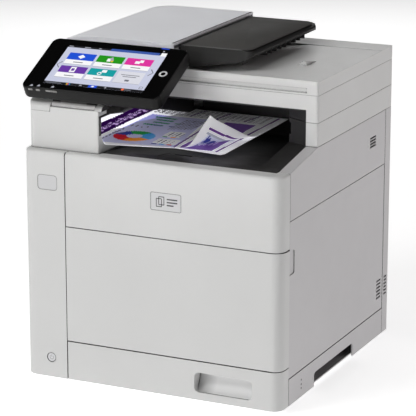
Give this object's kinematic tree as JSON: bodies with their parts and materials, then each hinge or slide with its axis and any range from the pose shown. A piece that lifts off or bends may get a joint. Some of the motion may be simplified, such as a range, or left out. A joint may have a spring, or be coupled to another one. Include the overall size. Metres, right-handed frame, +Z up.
{
  "type": "photocopier",
  "caption": "Desktop office photocopier with paper cassette, front and side doors, output bay, flatbed scanner, document feeder and tilting touch panel.",
  "frame": {"origin": "centre of the machine's footprint, on the floor under its feet", "axes": "+Z up; -Y is the front, towards the user; +X is the right side seen from the front"},
  "size_m": [0.4216, 0.433, 0.507],
  "materials": {
    "white_cover": "fine moulded grain",
    "grey_cover": "fine moulded grain",
    "dark_plastic": "matte, fine grain",
    "tray_plastic": "satin, fine grain",
    "label_plate": "satin",
    "key_plastic": "satin",
    "black_glass": "polished",
    "display_panel": "backlit",
    "platen_glass": "polished",
    "lid_pad": "soft foam with film",
    "rubber": "matte",
    "sheet_steel": "zinc plated",
    "roller_steel": "ground",
    "circuit_board": "solder mask",
    "toner_black": "satin",
    "toner_cyan": "satin",
    "toner_magenta": "satin",
    "toner_yellow": "satin"
  },
  "bodies": {
    "root": {"base_frame": "sheet_steel", "foot_front_left": "rubber", "foot_front_right": "rubber", "foot_rear_left": "rubber", "foot_rear_right": "rubber", "left_front_column": "white_cover", "blank_plate": "label_plate", "upper_front_cover": "white_cover", "badge_plate": "label_plate", "left_side_cover": "white_cover", "right_upper_cover": "grey_cover", "right_lower_cover": "grey_cover", "rear_cover": "grey_cover", "output_tray": "dark_plastic", "exit_housing": "white_cover", "bay_ceiling": "dark_plastic", "scanner_base": "white_cover", "platen_glass": "platen_glass", "lid_hinge_left": "sheet_steel", "lid_hinge_right": "sheet_steel", "panel_pedestal": "white_cover", "hinge_cap": "white_cover", "laser_unit": "dark_plastic", "drum_unit": "dark_plastic", "transfer_belt": "dark_plastic", "toner_black": "toner_black", "toner_cyan": "toner_cyan", "toner_magenta": "toner_magenta", "toner_yellow": "toner_yellow", "drive_motor": "sheet_steel", "power_supply": "sheet_steel", "control_board": "circuit_board"},
    "front_door": {"front_door": "white_cover"},
    "side_door": {"side_door": "grey_cover"},
    "power_button": {"power_button": "key_plastic"},
    "cassette": {"cassette_front": "white_cover", "cassette_tub": "tray_plastic"},
    "lift_plate": {"lift_plate": "sheet_steel"},
    "paper_guide_front": {"paper_guide_front": "tray_plastic"},
    "paper_guide_rear": {"paper_guide_rear": "tray_plastic"},
    "paper_guide_end": {"paper_guide_end": "tray_plastic"},
    "drive_gear": {"drive_gear": "key_plastic"},
    "pickup_roller": {"pickup_roller": "rubber"},
    "transfer_roller": {"transfer_roller": "rubber"},
    "fuser_roller": {"fuser_roller": "roller_steel"},
    "exit_roller": {"exit_roller": "rubber"},
    "cooling_fan": {"cooling_fan": "dark_plastic"},
    "paper_stop": {"paper_stop": "dark_plastic"},
    "scan_carriage": {"scan_carriage": "dark_plastic"},
    "panel": {"panel_arm": "grey_cover", "panel_housing": "dark_plastic", "panel_glass": "black_glass", "display": "display_panel"},
    "home_key": {"home_key": "dark_plastic"},
    "lid": {"platen_lid": "white_cover", "lid_pad": "lid_pad", "feeder_base": "grey_cover"},
    "feeder_cover": {"feeder_cover": "grey_cover"},
    "feeder_tray": {"feeder_tray": "tray_plastic"},
    "feeder_roller": {"feeder_roller": "rubber"}
  },
  "joints": [
    {"name": "front_door_hinge", "type": "hinge", "parent": "root", "child": "front_door", "pos_m": [0.036, -0.213, 0.0706], "axis": [1, 0, 0], "range_deg": [0, 88]},
    {"name": "side_door_hinge", "type": "hinge", "parent": "root", "child": "side_door", "pos_m": [0.208, 0.1874, 0.167], "axis": [0, 0, 1], "range_deg": [0, 90]},
    {"name": "power_button_press", "type": "slide", "parent": "root", "child": "power_button", "axis": [0, 1, 0], "range_m": [0, 0.002]},
    {"name": "cassette_slide", "type": "slide", "parent": "root", "child": "cassette", "axis": [0, -1, 0], "range_m": [0, 0.3]},
    {"name": "lift_plate_hinge", "type": "hinge", "parent": "cassette", "child": "lift_plate", "pos_m": [0.024, -0.0315, 0.0168], "axis": [0, -1, 0], "range_deg": [0, 8]},
    {"name": "paper_guide_front_slide", "type": "slide", "parent": "cassette", "child": "paper_guide_front", "axis": [0, 1, 0], "range_m": [0, 0.03]},
    {"name": "paper_guide_rear_slide", "type": "slide", "parent": "cassette", "child": "paper_guide_rear", "axis": [0, -1, 0], "range_m": [0, 0.03]},
    {"name": "paper_guide_end_slide", "type": "slide", "parent": "cassette", "child": "paper_guide_end", "axis": [1, 0, 0], "range_m": [0, 0.08]},
    {"name": "drive_gear_spin", "type": "hinge", "parent": "root", "child": "drive_gear", "pos_m": [0.11, 0.1905, 0.22], "axis": [0, 1, 0], "continuous": true},
    {"name": "pickup_roller_spin", "type": "hinge", "parent": "root", "child": "pickup_roller", "pos_m": [0.168, -0.0315, 0.0565], "axis": [0, 1, 0], "continuous": true},
    {"name": "transfer_roller_spin", "type": "hinge", "parent": "root", "child": "transfer_roller", "pos_m": [0.166, -0.0115, 0.171], "axis": [0, 1, 0], "continuous": true},
    {"name": "fuser_roller_spin", "type": "hinge", "parent": "root", "child": "fuser_roller", "pos_m": [0.176, -0.0115, 0.3], "axis": [0, 1, 0], "continuous": true},
    {"name": "exit_roller_spin", "type": "hinge", "parent": "root", "child": "exit_roller", "pos_m": [0.175, 0.0305, 0.391], "axis": [0, 1, 0], "continuous": true},
    {"name": "cooling_fan_spin", "type": "hinge", "parent": "root", "child": "cooling_fan", "pos_m": [-0.08, 0.2005, 0.3], "axis": [0, 1, 0], "continuous": true},
    {"name": "paper_stop_hinge", "type": "hinge", "parent": "root", "child": "paper_stop", "pos_m": [0.022, -0.17, 0.35584], "axis": [1, 0, 0], "range_deg": [0, 70]},
    {"name": "scan_carriage_slide", "type": "slide", "parent": "root", "child": "scan_carriage", "axis": [1, 0, 0], "range_m": [0, 0.28]},
    {"name": "panel_tilt", "type": "hinge", "parent": "root", "child": "panel", "pos_m": [-0.1325, -0.1895, 0.422], "axis": [1, 0, 0], "range_deg": [-8, 50]},
    {"name": "home_key_press", "type": "slide", "parent": "panel", "child": "home_key", "axis": [0, 0.4446, -0.8957], "range_m": [0, 0.0008]},
    {"name": "lid_hinge", "type": "hinge", "parent": "root", "child": "lid", "pos_m": [0, 0.2115, 0.453], "axis": [-1, 0, 0], "range_deg": [0, 70]},
    {"name": "feeder_cover_hinge", "type": "hinge", "parent": "lid", "child": "feeder_cover", "pos_m": [-0.2065, 0.059, 0.4882], "axis": [0, -1, 0], "range_deg": [0, 75]},
    {"name": "feeder_tray_hinge", "type": "hinge", "parent": "lid", "child": "feeder_tray", "pos_m": [-0.0205, 0.063, 0.5], "axis": [0, -1, 0], "range_deg": [0, 60]},
    {"name": "feeder_roller_spin", "type": "hinge", "parent": "lid", "child": "feeder_roller", "pos_m": [-0.05, 0.0585, 0.4954], "axis": [0, 1, 0], "continuous": true}
  ],
  "couplings": [
    {"joint": "paper_guide_rear_slide", "follows": "paper_guide_front_slide", "ratio": 1},
    {"joint": "drive_gear_spin", "follows": "fuser_roller_spin", "ratio": 2},
    {"joint": "pickup_roller_spin", "follows": "fuser_roller_spin", "ratio": -1.2},
    {"joint": "transfer_roller_spin", "follows": "fuser_roller_spin", "ratio": 1.6},
    {"joint": "exit_roller_spin", "follows": "fuser_roller_spin", "ratio": 2}
  ]
}
